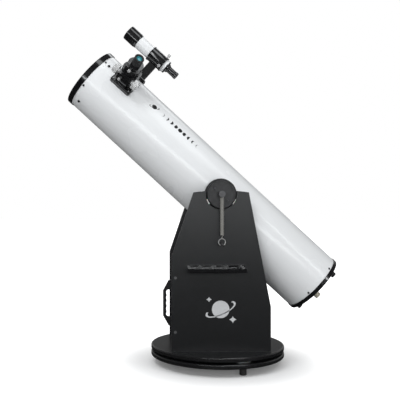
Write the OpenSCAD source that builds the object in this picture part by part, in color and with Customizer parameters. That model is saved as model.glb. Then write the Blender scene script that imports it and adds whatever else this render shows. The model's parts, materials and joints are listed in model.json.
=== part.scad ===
// Dobsonian reflector telescope: a solid tube on a two-panel rocker box.
// Frame: origin on the floor on the azimuth axis, +Z up, the tube points up and towards -X.
// Sizes are millimetres. Clocking angles go round the tube from its left side over its top.

/* [Base] */
// Diameter of the two round boards, with their edge bands
base_d = 496; // [480:1:512]
// Thickness of every board
board_t = 16; // [15:0.5:17]
// Height of the feet under the ground board
foot_h = 30; // [26:1:34]
// Diameter of a foot
foot_d = 25; // [22:1:30]
// Gap between the two round boards, filled by the bearing pads
board_gap = 8; // [6:1:10]

/* [Rocker box] */
// Distance from the tube's centre plane to a side panel's inner face
panel_in = 134; // [134:1:140]
// Width of a side panel where it stands on the turntable
panel_foot_w = 352; // [340:1:360]
// Width of a side panel at its top
panel_top_w = 196; // [190:1:204]
// Height of the altitude axis above the floor
altitude_z = 627; // [620:1:634]
// Height at which a panel's front edge starts to slant
front_corner_z = 405; // [395:1:415]
// Height at which a panel's rear edge starts to slant
rear_corner_z = 229; // [220:1:240]
// Height of the front board
front_board_h = 330; // [320:1:345]

/* [Optical tube] */
// Outer diameter of the tube
tube_d = 235; // [234:0.5:236]
// Wall thickness of the tube
tube_wall = 1.2; // [1:0.1:1.4]
// Length from the altitude axis to the front edge of the front ring
tube_front = 655; // [645:1:665]
// Length from the altitude axis to the rear edge of the rear ring
tube_back = 495; // [490:1:500]
// Elevation of the tube at rest, in degrees
rest_altitude = 42.7; // [20:0.1:70]
// Diameter of the primary mirror
mirror_d = 203; // [200:1:203]

/* [Focuser] */
// Distance of the focuser axis in front of the altitude axis
focuser_a = 528; // [524:1:532]
// Clocking angle of the focuser
focuser_clock = 35.5; // [30:0.5:38]
// Extension of the focuser's drawtube at rest
draw_out = 13; // [13:1:20]

/* [Finder] */
// Distance of the finder's shoe in front of the altitude axis
finder_a = 512; // [508:1:516]
// Clocking angle of the finder
finder_clock = 88; // [86:1:95]
// Distance from the tube's axis to the finder's axis
finder_off = 224; // [220:1:230]

/* [Hidden] */
$fn = 96;

run_gap = 0.05;       // radial clearance of every running fit
touch_gap = 0.02;     // clearance where two fixed pieces meet
cut = 1;              // how far a cut runs past the faces it opens

base_r = base_d / 2;
ground_z = foot_h;
turntable_z = ground_z + board_t + board_gap;
deck_z = turntable_z + board_t;     // top face of the turntable
band_t = 5;           // radial thickness of the edge bands
tongue_t = 2;         // tongue of an edge band, set in a groove of its board
tongue_l = 6;
foot_radius = base_r - 41;
foot_angles = [-70, 50, 170];
foot_recess_r = 6;      // the open end of each foot, where a locating stud fits
foot_recess_h = 4.5;
foot_seat_h = 8;        // the foot's screw head sits above this height
pivot_r = 6;
bush_r = 9;

panel_out = panel_in + board_t;
front_x = -170;       // outer face of the front board
notch_r = 55;         // bearing notch in a side panel
crown_r = 690;        // radius of a side panel's arched top edge
crown_rise = 14;
confirmat_r = 3.5;
confirmat_head_r = 5;
confirmat_len = 46;
confirmat_head_h = 3;
side_screw_z = [139, 331];
deck_screw_x = [-120, 0, 120];
deck_screw_y = 70;    // of the two screws under the front board

rack_x = [-120, 83];
rack_depth = 62;
rack_z = 369;         // top face of the rack's shelf
rack_t = 6;
rack_flange_t = 4;
rack_flange_z = 377;
rack_lip_z = 356;
rack_screw_x = [-77, -22, 22, 69];
rack_screw_z = 373;
rack_holes = [[-95, 16], [-49, 16], [-3, 16], [46, 25.5]];
wood_screw_r = 1.75;
handle_w = 28;
handle_reach = 34;    // how far the grip stands out from the front board
handle_z = [138, 306];
handle_grip_z = [175, 267];
handle_foot = 13;
handle_screw_z = [154, 290];
handle_hole = [44, 104];
handle_swell_r = 11.5;
handle_swell_z = [190:20.6:252];

spring_y = 176;       // plane of the tension springs, from the centre plane
spring_r = 6.9;
spring_bottom = 482;
spring_top = 615;
ring_z = 459;         // centre of a pull ring
ring_major = 12;
ring_wire = 1.5;
eye_major = 4.5;
eye_wire = 1.1;
post_r = 4.4;
post_z = ring_z - ring_major + ring_wire + post_r + run_gap;

tube_r = tube_d / 2;
tube_in = tube_r - tube_wall;
tube_edge = 5;        // the rings' end faces stand this far past the tube's own ends
skirt_r = tube_r + 2;
sleeve_out = tube_in - 0.1;
sleeve_in = sleeve_out - 1.7;
ring_screw_clocks = [for (i = [0:5]) 60 * i - 22];
ring_screw_inset = 27;
rear_screw_a = -tube_back + 21;
spider_a = tube_front - 45;
spider_clocks = [for (i = [0:3]) 90 * i - 54];
tube_screw_r = 2;
spider_stud_r = 2.5;

bearing_r = 51.5;
bearing_flange_r = 57;
bearing_foot = 95;    // a bearing starts this far out, inside the tube's curve
bearing_flange_out = panel_in - 2;
bearing_out = 165;
bearing_recess = 4;
bearing_recess_r = 45;
bearing_boss_r = 12;
bearing_bolt_a = 32;
bearing_bolt_r = 3;
pin_r = 4;

cell_bolt_r = 98;     // radius of the collimation and lock bolts' circle
collimation_clocks = [-16, 104, 224];
lock_clocks = [44, 164, 284];
frame_back = -tube_back + 15;
frame_front = frame_back + 12;
cell_back = frame_front + 10;
cell_front = cell_back + 6;
mirror_back = cell_front + 2;
mirror_t = 25;
mirror_r = mirror_d / 2;
cell_r = 108;
post_inner = mirror_r + 1.1;
cell_post_top = mirror_back + mirror_t + 1;
cell_bolt_hole = 3.3;

secondary_r = 25;
secondary_t = 8;

draw_r = 28.5;
draw_bore = 25.4;
base_top = tube_r + 8;
body_top = tube_r + 72;
body_flange_r = 37;
collar_base = body_top + draw_out;
collar_top = collar_base + 15;
adapter_top = collar_top + 6;
adapter_bore = 15.9;
shaft_r = 2.5;
shaft_y = -(draw_r + 2 + run_gap);
shaft_h = tube_r + 55;
draw_flat = -(draw_r - 0.5);
housing_y = -48;
housing_half = 27;
knob_r = 18;
knob_near = 36;
knob_far = 54.5;
lock_h = shaft_h - 8.5;
lock_a = 12;
focuser_screw = [36.5, 30.5];
focuser_plate = [86, 74];
focuser_rim = [82, 70];

shoe_half = 23;
shoe_top = tube_r + 11.5;
dove_half = 13;       // half the dovetail's width at its foot
dove_slope = 0.47;    // how fast it narrows outwards
dove_base = tube_r + 4;
finder_ring_back = finder_a - 33;
finder_ring_front = finder_a + 34;
finder_r = 25;
finder_ring_r = 28;
finder_flange_r = 29.5;
finder_flange_t = 4;
finder_ring_bore = 26.6;
finder_land_a = finder_ring_front - 7;   // where the finder tube pivots in its ring
finder_screw_a = finder_ring_back + 9;
finder_screw_angles = [0, -120];
finder_tip = 26;
finder_tube_back = finder_a - 45;
finder_tube_front = finder_a + 94;

// ---------------------------------------------------------------- frames and shared shapes

// Tube frame: z along the tube from the altitude axis to the front, x up, y across
module tube_frame()
    translate([0, 0, altitude_z]) rotate([0, rest_altitude - 90, 0]) children();

// A place on the tube: x outwards, z along the tube
module clock(angle, a = 0)
    translate([0, 0, a]) rotate([0, 0, angle - 90]) children();

module finder_axis() clock(finder_clock) translate([finder_off, 0, 0]) children();

// Both sides of the telescope, drawn for the left one
module both_sides() {
    children();
    mirror([0, 1, 0]) children();
}

// A flat shape in the x-z plane, given thickness from y = near outwards to the left
module plate(near, thickness)
    translate([0, -near, 0]) rotate([90, 0, 0]) linear_extrude(thickness) children();

module tube_ring(outer, inner, low, high)
    translate([0, 0, low]) difference() {
        cylinder(r = outer, h = high - low);
        translate([0, 0, -cut]) cylinder(r = inner, h = high - low + 2 * cut);
    }

module torus(major, wire) rotate_extrude() translate([major, 0]) circle(wire, $fn = 32);

module rounded_rect(w, h, r) {
    square([w - 2 * r, h], center = true);
    square([w, h - 2 * r], center = true);
    for (x = [-1, 1], y = [-1, 1]) translate([x * (w / 2 - r), y * (h / 2 - r)]) circle(r);
}

// Screw along z: its head stands on z = 0, with a cross recess, and its shank goes down
module pan_screw(shank_r, shank_l, head_r, head_h) difference() {
    rotate_extrude() polygon([[0, -shank_l], [shank_r, -shank_l], [shank_r, 0], [head_r, 0],
        [head_r, head_h * 0.5], [head_r * 0.75, head_h], [0, head_h]]);
    for (a = [45, 135]) rotate(a) translate([0, 0, head_h])
        cube([head_r * 1.1, head_r * 0.26, head_h * 1.1], center = true);
}

// Socket screw along z: its cap head stands on z = 0 and its shank goes down
module socket_screw(shank_r, shank_l, head_r, head_h) difference() {
    rotate_extrude() polygon([[0, -shank_l], [shank_r, -shank_l], [shank_r, 0], [head_r, 0],
        [head_r, head_h - 0.5], [head_r - 0.5, head_h], [0, head_h]]);
    translate([0, 0, head_h / 2]) cylinder(r = head_r * 0.55, h = head_h, $fn = 6);
}

// Thumb screw along z: a grooved head above a neck, and a shank that goes down
module thumb_screw(shank_r, shank_l, neck_r, neck_h, head_r, head_h, grooves) {
    translate([0, 0, -shank_l]) cylinder(r = shank_r, h = shank_l + neck_h);
    cylinder(r = neck_r, h = neck_h);
    translate([0, 0, neck_h]) grooved(head_r, head_h, grooves);
}

module grooved(r, h, count)
    linear_extrude(h) difference() {
        circle(r);
        for (i = [0:count - 1]) rotate(i * 360 / count) translate([r + 0.4, 0]) circle(1, $fn = 16);
    }

// ---------------------------------------------------------------- ground board

module at_feet() for (a = foot_angles) rotate(a) translate([foot_radius, 0, 0]) children();

module board_disc(low)
    translate([0, 0, low]) difference() {
        cylinder(r = base_r - band_t, h = board_t);
        translate([0, 0, (board_t - tongue_t) / 2 - touch_gap])
            tube_ring(base_r, base_r - band_t - tongue_l, 0, tongue_t + 2 * touch_gap);
    }

module edge_band(low)
    translate([0, 0, low]) rotate_extrude($fn = 180) union() {
        translate([base_r - band_t + touch_gap, 0]) square([1.5, board_t]);
        translate([base_r - band_t / 2 - 0.75, board_t / 2]) rounded_rect(band_t - 1.5, board_t, 1.6);
        translate([base_r - band_t, board_t / 2]) intersection() {
            rounded_rect(2 * band_t, board_t, 4);
            translate([band_t / 2, 0]) square([band_t, board_t], center = true);
        }
        translate([base_r - band_t - tongue_l + 0.3, (board_t - tongue_t) / 2])
            square([tongue_l + 1, tongue_t]);
    }

module ground_board() color([0.16, 0.17, 0.18]) difference() {
    board_disc(ground_z);
    translate([0, 0, ground_z - cut]) cylinder(r = pivot_r + run_gap, h = board_t + 2 * cut);
    translate([0, 0, ground_z - cut]) cylinder(r = 11.5, h = 8 + cut);
    at_feet() translate([0, 0, ground_z - cut]) cylinder(r = 2.55, h = 13 + cut);
}

module ground_edge_band() color([0.05, 0.05, 0.06]) edge_band(ground_z);

module feet() color([0.1, 0.1, 0.1]) at_feet() {
    difference() {
        rotate_extrude() polygon([[0, 0], [foot_d / 2 - 2, 0], [foot_d / 2, 2],
            [foot_d / 2, foot_h - 1], [foot_d / 2 - 1, foot_h], [0, foot_h]]);
        translate([0, 0, -cut]) cylinder(r = foot_recess_r, h = foot_recess_h + cut);
        cylinder(r = foot_recess_r - 0.5, h = foot_seat_h);
        cylinder(r = 2.55, h = foot_h + cut);
    }
    translate([0, 0, foot_seat_h - touch_gap]) rotate([180, 0, 0]) pan_screw(2.5, foot_h + 3, 5, 2.4);
}

module azimuth_pads() color("white")
    at_feet() translate([0, 0, ground_z + board_t + touch_gap])
        linear_extrude(board_gap - touch_gap - run_gap) rounded_rect(26, 46, 4);

module pivot_fasteners() color("silver") {
    translate([0, 0, ground_z + 1]) cylinder(r = 10, h = 7, $fn = 6);
    translate([0, 0, ground_z + 8]) cylinder(r = pivot_r, h = deck_z + 18 - ground_z - 8);
    tube_ring(14, pivot_r + touch_gap, deck_z + 2 + run_gap, deck_z + 4);
    translate([0, 0, deck_z + 4 + touch_gap]) difference() {
        cylinder(r = 10, h = 10, $fn = 6);
        translate([0, 0, -cut]) cylinder(r = pivot_r + touch_gap, h = 10 + 2 * cut);
    }
}

// ---------------------------------------------------------------- rocker box

// Screws that come up through the turntable into the panels and the front board
module at_deck_screws() {
    for (x = deck_screw_x, s = [-1, 1])
        translate([x, s * (panel_in + board_t / 2), turntable_z]) children();
    for (s = [-1, 1]) translate([front_x + board_t / 2, s * deck_screw_y, turntable_z]) children();
}

module at_side_screws()
    both_sides() for (z = side_screw_z)
        translate([front_x + board_t / 2, -panel_out, z]) rotate([-90, 0, 0]) children();

// Confirmat screw: a flush head at z = 0 with a hex socket, its shank goes up
module confirmat() difference() {
    union() {
        cylinder(r = confirmat_head_r, h = confirmat_head_h);
        cylinder(r = confirmat_r, h = confirmat_len);
    }
    translate([0, 0, -cut]) cylinder(r = 2.1, h = confirmat_head_h + cut, $fn = 6);
}

// Hole for a confirmat screw
module confirmat_hole() {
    translate([0, 0, -cut]) cylinder(r = confirmat_head_r + run_gap, h = confirmat_head_h + cut);
    cylinder(r = confirmat_r + run_gap, h = confirmat_len + run_gap);
}

module turntable_board() color([0.25, 0.26, 0.27]) difference() {
    board_disc(turntable_z);
    translate([0, 0, turntable_z - cut]) cylinder(r = bush_r + touch_gap, h = board_t + 2 * cut);
    at_deck_screws() confirmat_hole();
}

module turntable_edge_band() color([0.05, 0.05, 0.06]) edge_band(turntable_z);

module pivot_bush() color("ivory") {
    tube_ring(bush_r, pivot_r + run_gap, turntable_z, deck_z + 2);
    tube_ring(14, bush_r - 0.5, deck_z + touch_gap, deck_z + 2);
}

module panel_outline() intersection() {
    polygon([[-panel_foot_w / 2, deck_z], [-panel_foot_w / 2, front_corner_z],
        [-panel_top_w / 2, altitude_z + 7], [-panel_top_w / 2 + 1, altitude_z + crown_rise + 6],
        [panel_top_w / 2 - 1, altitude_z + crown_rise + 6], [panel_top_w / 2, altitude_z + 7],
        [panel_foot_w / 2, rear_corner_z], [panel_foot_w / 2, deck_z]]);
    translate([0, altitude_z + crown_rise - crown_r]) circle(crown_r, $fn = 360);
}

module side_panel() difference() {
    plate(panel_in, board_t) difference() {
        panel_outline();
        translate([0, altitude_z]) circle(notch_r);
        translate([-notch_r, altitude_z]) square(2 * notch_r);
        translate([0, post_z]) circle(2.5 + run_gap, $fn = 32);
    }
    at_side_screws() confirmat_hole();
    at_deck_screws() confirmat_hole();
}

module side_panel_left() color([0.2, 0.21, 0.22]) difference() {
    side_panel();
    at_rack_screws() cylinder(r = wood_screw_r + run_gap, h = 12, $fn = 24);
}

module side_panel_right() color([0.2, 0.21, 0.22]) mirror([0, 1, 0]) side_panel();

module front_board() color([0.2, 0.21, 0.22]) difference() {
    translate([front_x, -panel_in, deck_z]) cube([board_t, 2 * panel_in, front_board_h]);
    at_side_screws() confirmat_hole();
    at_deck_screws() confirmat_hole();
    at_handle_screws() cylinder(r = wood_screw_r + run_gap, h = 40, $fn = 24);
}

// Handle: the outline slants in at both ends, and the grip has finger swells on its inner side
module carry_handle() color([0.08, 0.08, 0.09]) difference() {
    translate([front_x, handle_w / 2, 0]) rotate([90, 0, 0]) linear_extrude(handle_w) difference() {
        polygon([[0, handle_z[0]], [-handle_foot, handle_z[0]],
            [-handle_reach, handle_grip_z[0]], [-handle_reach, handle_grip_z[1]],
            [-handle_foot, handle_z[1]], [0, handle_z[1]]]);
        difference() {
            translate([0, (handle_grip_z[0] + handle_grip_z[1]) / 2])
                rounded_rect(handle_hole[0], handle_hole[1], 9);
            for (z = handle_swell_z) translate([2 - handle_reach, z]) circle(handle_swell_r);
        }
    }
    at_handle_screws() cylinder(r = wood_screw_r + run_gap, h = 25, $fn = 24);
}

module at_handle_screws()
    for (z = handle_screw_z) translate([front_x + board_t, 0, z]) rotate([0, -90, 0]) children();

module at_rack_screws()
    for (x = rack_screw_x) translate([x, -panel_out, rack_screw_z]) rotate([-90, 0, 0]) children();

module eyepiece_rack() color([0.07, 0.07, 0.08]) difference() {
    translate([rack_x[0], 0, 0]) union() {
        translate([0, -panel_out - rack_depth, rack_z - rack_t])
            cube([rack_x[1] - rack_x[0], rack_depth, rack_t]);
        translate([0, -panel_out - rack_flange_t, rack_z - rack_t])
            cube([rack_x[1] - rack_x[0], rack_flange_t, rack_flange_z - rack_z + rack_t]);
        translate([0, -panel_out - rack_depth, rack_lip_z])
            cube([rack_x[1] - rack_x[0], rack_flange_t, rack_z - rack_lip_z]);
    }
    for (hole = rack_holes)
        translate([hole[0], -panel_out - rack_depth / 2 - 1, rack_z - rack_t - cut])
            cylinder(r = hole[1], h = rack_t + 2 * cut);
    at_rack_screws() translate([0, 0, -10]) cylinder(r = wood_screw_r + run_gap, h = 12, $fn = 24);
}

module wood_screws() color("dimgray") {
    at_rack_screws() translate([0, 0, -rack_flange_t]) rotate([180, 0, 0])
        pan_screw(wood_screw_r, rack_flange_t + 11, 3.4, 2.4);
    at_handle_screws() rotate([180, 0, 0]) pan_screw(wood_screw_r, board_t + 8, 3.4, 2.4);
}

module panel_screws() color([0.1, 0.1, 0.1]) {
    at_deck_screws() confirmat();
    at_side_screws() confirmat();
}

module altitude_pads() color("white") both_sides()
    plate(panel_in, board_t) for (a = [-30, -150])
        translate([0, altitude_z]) rotate(a) intersection() {
            difference() {
                circle(notch_r - touch_gap);
                circle(bearing_r + run_gap);
            }
            translate([notch_r / 2 + 10, 0]) square([notch_r, 19], center = true);
        }

module tension_springs() color("silver") both_sides() translate([0, -spring_y, 0]) {
    tube_ring(spring_r, spring_r - 2, spring_bottom, spring_top);
    for (z = [spring_bottom, spring_top - 1.5]) translate([0, 0, z]) cylinder(r = spring_r - 1, h = 1.5);
    translate([0, 0, altitude_z]) rotate([90, 0, 0]) torus(pin_r + run_gap + 1.2, 1.2);
    translate([0, 0, spring_top - 1]) cylinder(r = 1.2, h = altitude_z - 5 - spring_top + 1, $fn = 32);
    translate([0, 0, ring_z + ring_major - ring_wire - run_gap + eye_major - eye_wire])
        rotate([0, 90, 0]) torus(eye_major, eye_wire);
    translate([0, 0, ring_z + ring_major + 6.5]) cylinder(r = eye_wire, h = 5, $fn = 32);
}

module pull_rings() color("silver") both_sides()
    translate([0, -spring_y, ring_z]) rotate([90, 0, 0]) torus(ring_major, ring_wire);

module spring_posts() color([0.1, 0.1, 0.1]) both_sides()
    translate([0, -panel_out, post_z]) rotate([90, 0, 0]) {
        translate([0, 0, -12]) cylinder(r = 2.5, h = 12 + cut, $fn = 32);
        cylinder(r = post_r, h = 30);
        translate([0, 0, 29]) rotate_extrude() polygon([[0, 0], [6.5, 0], [6.5, 3], [5, 5], [0, 5]]);
    }

// ---------------------------------------------------------------- optical tube

module radial_hole(angle, a, r, from)
    clock(angle, a) translate([from, 0, 0]) rotate([0, 90, 0]) cylinder(r = r, h = 60, $fn = 32);

module screw_holes(a, from)
    for (c = ring_screw_clocks) radial_hole(c, a, tube_screw_r + run_gap, from);

module at_focuser() clock(focuser_clock, focuser_a) children();

module at_focuser_screws() at_focuser()
    for (z = [-1, 1], y = [-1, 1])
        translate([base_top, y * focuser_screw[1], z * focuser_screw[0]]) rotate([0, 90, 0]) children();

module at_shoe_screws() clock(finder_clock, finder_a)
    for (z = [-14, 14]) translate([dove_base, 0, z]) rotate([0, 90, 0]) children();

module main_tube() color("white") tube_frame() difference() {
    tube_ring(tube_r, tube_in, -tube_back + tube_edge, tube_front - tube_edge, $fn = 180);
    at_focuser() rotate([0, 90, 0]) cylinder(r = 31, h = 140);
    screw_holes(tube_front - ring_screw_inset, 90);
    screw_holes(rear_screw_a, 90);
    for (c = spider_clocks) radial_hole(c, spider_a, spider_stud_r + run_gap, 90);
    for (c = [0, 180], a = [-1, 1]) radial_hole(c, a * bearing_bolt_a, bearing_bolt_r + run_gap, 90);
    at_focuser_screws() translate([0, 0, -25]) cylinder(r = tube_screw_r + run_gap, h = 30, $fn = 32);
    at_shoe_screws() translate([0, 0, -15]) cylinder(r = tube_screw_r + run_gap, h = 30, $fn = 32);
}

// End ring: a sleeve inside the tube, a skirt outside it and a rounded rim over its edge
module end_ring(skirt_l, sleeve_l) rotate_extrude($fn = 180) polygon([
    [sleeve_in, -sleeve_l], [sleeve_out, -sleeve_l], [sleeve_out, -tube_edge + touch_gap],
    [tube_r + 0.1, -tube_edge + touch_gap], [tube_r + 0.1, -skirt_l], [skirt_r - 0.6, -skirt_l],
    [skirt_r, -skirt_l + 0.6], [skirt_r, -2.2], [skirt_r - 0.6, -0.8], [skirt_r - 2, 0],
    [sleeve_in, 0], [sleeve_in - 1.4, -0.7], [sleeve_in - 2, -2], [sleeve_in - 2, -tube_edge],
    [sleeve_in, -tube_edge - 2]]);

module front_ring() color([0.08, 0.08, 0.09]) tube_frame() difference() {
    translate([0, 0, tube_front]) end_ring(21, 34);
    screw_holes(tube_front - ring_screw_inset, 90);
}

module rear_ring() color([0.08, 0.08, 0.09]) tube_frame() difference() {
    translate([0, 0, -tube_back]) mirror([0, 0, 1]) end_ring(15, 30);
    screw_holes(rear_screw_a, 90);
}

module tube_fasteners() color("dimgray") tube_frame() {
    for (c = ring_screw_clocks) {
        clock(c, tube_front - ring_screw_inset) translate([tube_r, 0, 0]) rotate([0, 90, 0])
            pan_screw(tube_screw_r, 4, 3.8, 2.2);
        clock(c, rear_screw_a) translate([tube_r, 0, 0]) rotate([0, 90, 0])
            pan_screw(tube_screw_r, 9, 3.8, 2.2);
    }
    for (c = spider_clocks) clock(c, spider_a) translate([tube_r + touch_gap, 0, 0])
        rotate([0, 90, 0]) difference() {
            rotate_extrude() polygon([[0, 0], [4.6, 0], [4.6, 3.2], [3, 5.4], [0, 5.8]]);
            translate([0, 0, -cut]) cylinder(r = spider_stud_r + touch_gap, h = 4 + cut, $fn = 32);
        }
    at_focuser_screws() pan_screw(tube_screw_r, 16, 3.6, 2.2);
    at_shoe_screws() pan_screw(tube_screw_r, 9, 3.6, 2);
    for (s = [-1, 1], a = [-1, 1]) clock(90 + s * 90, a * bearing_bolt_a)
        translate([bearing_out - bearing_recess, 0, 0]) rotate([0, 90, 0])
            socket_screw(bearing_bolt_r, bearing_out - bearing_recess - tube_in + 8, 5, 3.6);
}

// Altitude bearing: saddle flange on the tube, journal through the side panel, recessed face
module altitude_bearings() color([0.1, 0.1, 0.11]) tube_frame() both_sides() rotate([90, 0, 0])
    difference() {
        union() {
            translate([0, 0, bearing_foot])
                cylinder(r = bearing_flange_r, h = bearing_flange_out - bearing_foot);
            translate([0, 0, bearing_foot]) cylinder(r = bearing_r, h = bearing_out - 3 - bearing_foot);
            translate([0, 0, bearing_out - 3]) cylinder(r1 = bearing_r, r2 = bearing_r - 3, h = 3);
        }
        rotate([90, 0, 0]) cylinder(r = tube_r + touch_gap, h = 300, center = true, $fn = 180);
        tube_ring(bearing_recess_r, bearing_boss_r, bearing_out - bearing_recess, bearing_out + cut);
        for (y = [-1, 1]) translate([0, y * bearing_bolt_a, 100])
            cylinder(r = bearing_bolt_r + run_gap, h = 80, $fn = 32);
        translate([0, 0, bearing_out - 30]) cylinder(r = pin_r + touch_gap, h = 40, $fn = 48);
    }

module spring_pins() color([0.25, 0.25, 0.26]) tube_frame() both_sides()
    rotate([90, 0, 0]) translate([0, 0, spring_y + 4])
        thumb_screw(pin_r, spring_y + 4 - bearing_out + 28, 7, 2, 11.5, 7, 20);

module spider() color([0.1, 0.1, 0.1]) tube_frame() translate([0, 0, spider_a]) {
    difference() {
        union() {
            translate([0, 0, -10]) cylinder(r = 15, h = 20);
            for (c = spider_clocks) clock(c) {
                translate([10, -0.6, -10]) cube([tube_in - 0.3 - 10, 1.2, 20]);
                translate([tube_in - 12, 0, 0]) rotate([0, 90, 0])
                    cylinder(r = spider_stud_r, h = tube_wall + 15, $fn = 32);
            }
        }
        translate([0, 0, -10 - cut]) cylinder(r = 3 + run_gap, h = 20 + 2 * cut, $fn = 32);
    }
}

module secondary_holder() color([0.12, 0.12, 0.12]) tube_frame() at_focuser() {
    difference() {
        translate([0, 0, -30]) cylinder(r = secondary_r - 1, h = 74);
        rotate([0, 135, 0]) translate([-100, -100, -secondary_t - touch_gap]) cube(200);
    }
    translate([0, 0, 43]) cylinder(r = 9, h = spider_a - 10 - focuser_a - 43 - 2);
    translate([0, 0, 43]) cylinder(r = 3, h = spider_a + 16 - focuser_a - 43, $fn = 32);
    translate([0, 0, spider_a + 10 - focuser_a + run_gap]) cylinder(r = 7, h = 5, $fn = 6);
}

module secondary_mirror() color([0.8, 0.85, 0.9]) tube_frame() at_focuser() intersection() {
    cylinder(r = secondary_r, h = 120, center = true);
    rotate([0, 135, 0]) translate([-60, -60, -secondary_t]) cube([120, 120, secondary_t]);
}

// ---------------------------------------------------------------- focuser and eyepiece

module along_x(low, r, high, fn = 96)
    translate([low, 0, 0]) rotate([0, 90, 0]) cylinder(r = r, h = high - low, $fn = fn);

module focuser_base() color([0.07, 0.07, 0.08]) tube_frame() difference() {
    at_focuser() rotate([0, 90, 0]) {
        translate([0, 0, 100]) linear_extrude(base_top - 103)
            rounded_rect(focuser_plate[0] + 5, focuser_plate[1] + 4, 7);
        translate([0, 0, 100]) linear_extrude(base_top - 100)
            rounded_rect(focuser_plate[0], focuser_plate[1], 5);
        translate([0, 0, base_top]) linear_extrude(1.2) difference() {
            rounded_rect(focuser_plate[0], focuser_plate[1], 5);
            rounded_rect(focuser_rim[0], focuser_rim[1], 3.5);
            circle(body_flange_r + 0.5);
        }
    }
    translate([0, 0, focuser_a - 60]) cylinder(r = tube_r + touch_gap, h = 120, $fn = 180);
    at_focuser() along_x(90, 30, 140);
    at_focuser_screws() translate([0, 0, -25]) cylinder(r = tube_screw_r + run_gap, h = 40, $fn = 32);
}

module focuser_body() color([0.07, 0.07, 0.08]) tube_frame() at_focuser() difference() {
    union() {
        along_x(base_top + touch_gap, 34.5, body_top);
        along_x(base_top + touch_gap, body_flange_r, base_top + 7);
        for (h = [16:9:34]) along_x(base_top + h, 36, base_top + h + 4);
        along_x(body_top - 9, body_flange_r, body_top);
        translate([shaft_h - 15, housing_y, -housing_half]) cube([27, 28, 2 * housing_half]);
    }
    along_x(90, draw_r + run_gap, body_top + cut);
    translate([shaft_h, shaft_y, -60]) cylinder(r = shaft_r + run_gap, h = 120, $fn = 48);
    translate([lock_h, housing_y - cut, lock_a]) rotate([-90, 0, 0])
        cylinder(r = tube_screw_r + run_gap, h = 16, $fn = 32);
}

module focus_lock_screw() color("silver") tube_frame() at_focuser()
    translate([lock_h, housing_y - run_gap, lock_a]) rotate([90, 0, 0])
        thumb_screw(tube_screw_r, 13, 3.5, 1.5, 5, 6.5, 16);

module drawtube() color([0.08, 0.08, 0.09]) tube_frame() at_focuser() difference() {
    union() {
        along_x(tube_r - 20, draw_r, collar_base + cut);
        along_x(collar_base, 29, collar_top);
    }
    along_x(tube_r - 20 - cut, draw_bore, collar_top + cut);
    translate([tube_r - 22, draw_flat - 5, -20]) cube([collar_base - tube_r + 20, 5, 40]);
    translate([collar_top - 7.5, 0, 0]) rotate([90, 0, 0])
        cylinder(r = tube_screw_r + run_gap, h = 40, $fn = 32);
}

module focus_shaft() color("silver") tube_frame() at_focuser()
    translate([shaft_h, shaft_y, -knob_far + 4]) cylinder(r = shaft_r, h = 2 * knob_far - 8, $fn = 48);

module focus_knob() difference() {
    union() {
        translate([0, 0, housing_half + 0.2]) cylinder(r = 7, h = knob_near - housing_half);
        translate([0, 0, knob_near]) grooved(knob_r, knob_far - knob_near - 3, 48);
        translate([0, 0, knob_far - 3 - touch_gap]) rotate_extrude()
            polygon([[0, 0], [knob_r - 0.8, 0], [knob_r - 2, 3], [0, 3]]);
    }
    translate([0, 0, 20]) cylinder(r = shaft_r + touch_gap, h = knob_far - 20 - 3.9, $fn = 48);
}

module focus_knobs() color("silver") tube_frame() at_focuser() translate([shaft_h, shaft_y, 0]) {
    focus_knob();
    mirror([0, 0, 1]) focus_knob();
}

module eyepiece_adapter() color([0.09, 0.09, 0.1]) tube_frame() at_focuser() difference() {
    union() {
        along_x(collar_top - 30, draw_bore - run_gap, collar_top + 1);
        along_x(collar_top + touch_gap, 29, adapter_top);
    }
    along_x(collar_top - 30 - cut, adapter_bore, adapter_top + cut);
}

module eyepiece_screw() color("silver") tube_frame() at_focuser()
    translate([collar_top - 7.5, -29.5, 0]) rotate([90, 0, 0])
        thumb_screw(tube_screw_r, 4, 3.5, 1.5, 5.5, 7, 16);

module eyepiece_barrel() color("silver") tube_frame() at_focuser() difference() {
    along_x(adapter_top - 28, adapter_bore - run_gap, adapter_top);
    along_x(adapter_top - 28 - cut, 14, adapter_top + cut);
}

module eyepiece_body() color([0.06, 0.06, 0.07]) tube_frame() at_focuser()
    translate([adapter_top + touch_gap, 0, 0]) rotate([0, 90, 0]) rotate_extrude() polygon([
        [14, 0], [17, 0], [17.5, 1], [17.5, 7], [16.2, 8], [16.2, 10], [17.5, 11], [17.5, 13],
        [16.2, 14], [16.2, 21], [16.8, 23], [17.6, 24.5], [17.6, 32], [16.8, 33.6], [14, 34],
        [12.4, 33], [11, 30], [11, 28], [9, 28], [9, 3]]);

module eyepiece_lens() color([0.1, 0.55, 0.6]) tube_frame() at_focuser()
    translate([adapter_top + 28 + 2 * touch_gap, 0, 0]) rotate([0, 90, 0]) intersection() {
        cylinder(r = 10.9, h = 4);
        translate([0, 0, -28]) sphere(r = 31);
    }

// ---------------------------------------------------------------- finder

module dovetail(grow, top) {
    foot = dove_half + grow;
    head = foot - dove_slope * (top - dove_base);
    polygon([[dove_base - grow, -foot], [dove_base - grow, foot], [top, head], [top, -head]]);
}

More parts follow.
